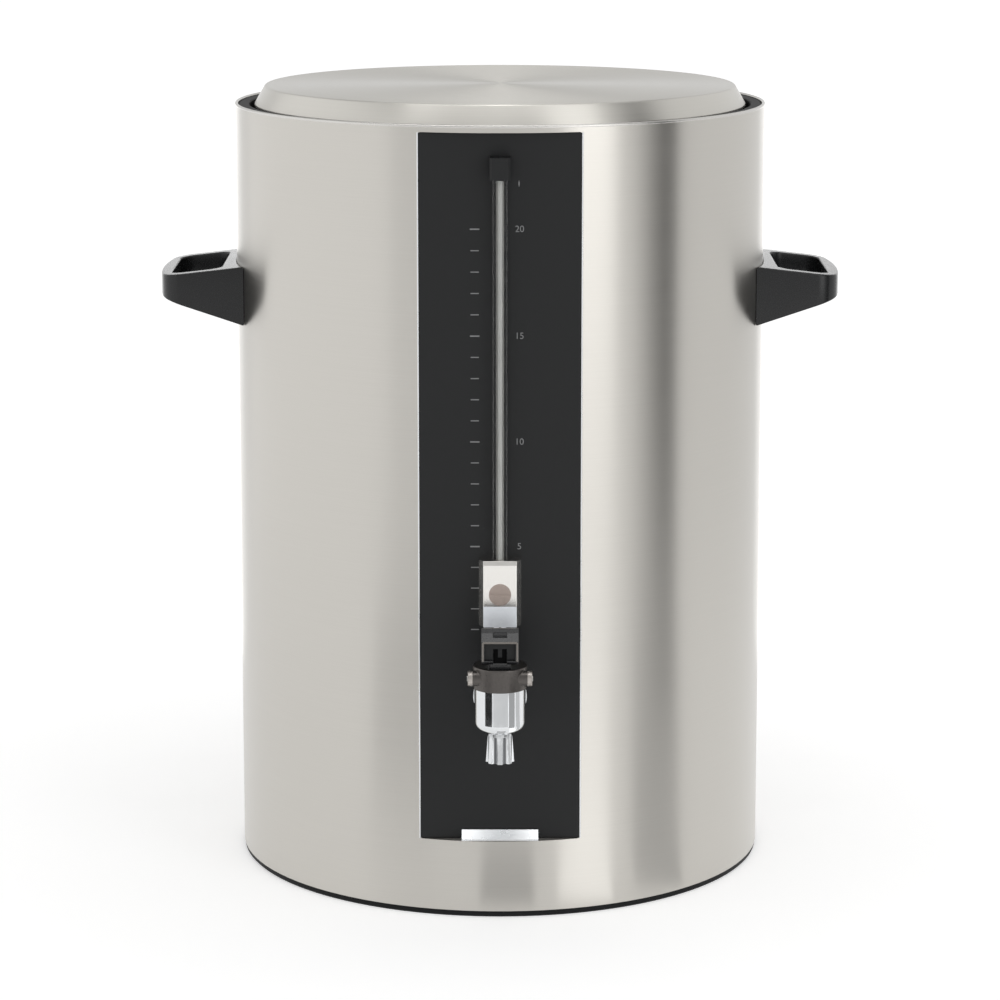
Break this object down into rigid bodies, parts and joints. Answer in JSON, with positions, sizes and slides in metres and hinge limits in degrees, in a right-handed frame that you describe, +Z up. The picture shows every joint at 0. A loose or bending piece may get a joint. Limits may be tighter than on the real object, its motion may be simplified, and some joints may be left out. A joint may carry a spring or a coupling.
{
  "type": "coffee urn",
  "caption": "Tall round double-walled steel coffee urn with flat lift-off lid, side loop handles, dark front panel with level gauge, and a self-closing lever tap.",
  "frame": {"origin": "on the urn's axis, in the plane that it stands on", "axes": "+Z up along the body's axis, -Y towards the panel and the tap, +X to the right seen from the front, towards the right handle"},
  "size_m": [0.452, 0.401, 0.52],
  "materials": {
    "brushed_steel": "brushed round the body",
    "inner_steel": "satin",
    "foam": "matt foam",
    "collar_plastic": "fine moulded grain",
    "handle_plastic": "fine moulded grain",
    "zinc_screw": "plated",
    "panel_plastic": "satin",
    "bright_steel": "polished",
    "gauge_glass": "clear tube",
    "tap_plastic": "semi-gloss",
    "block_metal": "satin plated",
    "plug_metal": "turned",
    "tap_chrome": "polished",
    "turned_steel": "turned",
    "seal_rubber": "matt"
  },
  "bodies": {
    "urn_body": {"outer_shell": "brushed_steel", "inner_tank": "inner_steel", "wall_insulation": "foam", "floor_insulation": "foam", "top_collar": "collar_plastic", "base_plate": "inner_steel", "base_cap": "collar_plastic", "base_screws": "zinc_screw", "handle_left": "handle_plastic", "handle_right": "handle_plastic", "handle_backplates": "inner_steel", "handle_screws": "zinc_screw", "front_panel": "panel_plastic", "panel_clip": "bright_steel", "gauge_tube": "gauge_glass", "gauge_top_holder": "tap_plastic", "gauge_top_seal": "seal_rubber", "gauge_block": "block_metal", "gauge_block_plug": "plug_metal", "gauge_lower_seal": "seal_rubber", "tap_body": "tap_chrome", "tap_nozzle": "tap_chrome", "tap_bonnet": "tap_plastic", "tap_shank": "turned_steel", "shank_gasket": "seal_rubber", "shank_nut": "turned_steel", "outlet_elbow": "turned_steel", "outlet_seal": "seal_rubber", "stem_spring": "turned_steel"},
    "valve_stem": {"valve_stem": "turned_steel", "seat_cup": "seal_rubber"},
    "tap_lever": {"tap_lever": "tap_plastic", "lever_pin": "turned_steel"},
    "lid": {"lid_cover": "brushed_steel", "lid_insulation": "foam", "lid_inner": "inner_steel", "lid_seal": "seal_rubber"}
  },
  "joints": [
    {"name": "lid_lift", "type": "slide", "parent": "urn_body", "child": "lid", "axis": [0, 0, 1], "range_m": [0, 0.12]},
    {"name": "lever_pull", "type": "hinge", "parent": "urn_body", "child": "tap_lever", "pos_m": [0, -0.21597, 0.1684], "axis": [1, 0, 0], "range_deg": [0, 25], "stiffness_Nm_per_rad": 0.4, "springref_deg": -20.05},
    {"name": "stem_lift", "type": "slide", "parent": "urn_body", "child": "valve_stem", "axis": [0, 0, 1], "range_m": [0, 0.0035], "deforming": ["stem_spring"]}
  ],
  "couplings": [
    {"joint": "stem_lift", "follows": "lever_pull", "m_per_rad": 0.0077486}
  ]
}
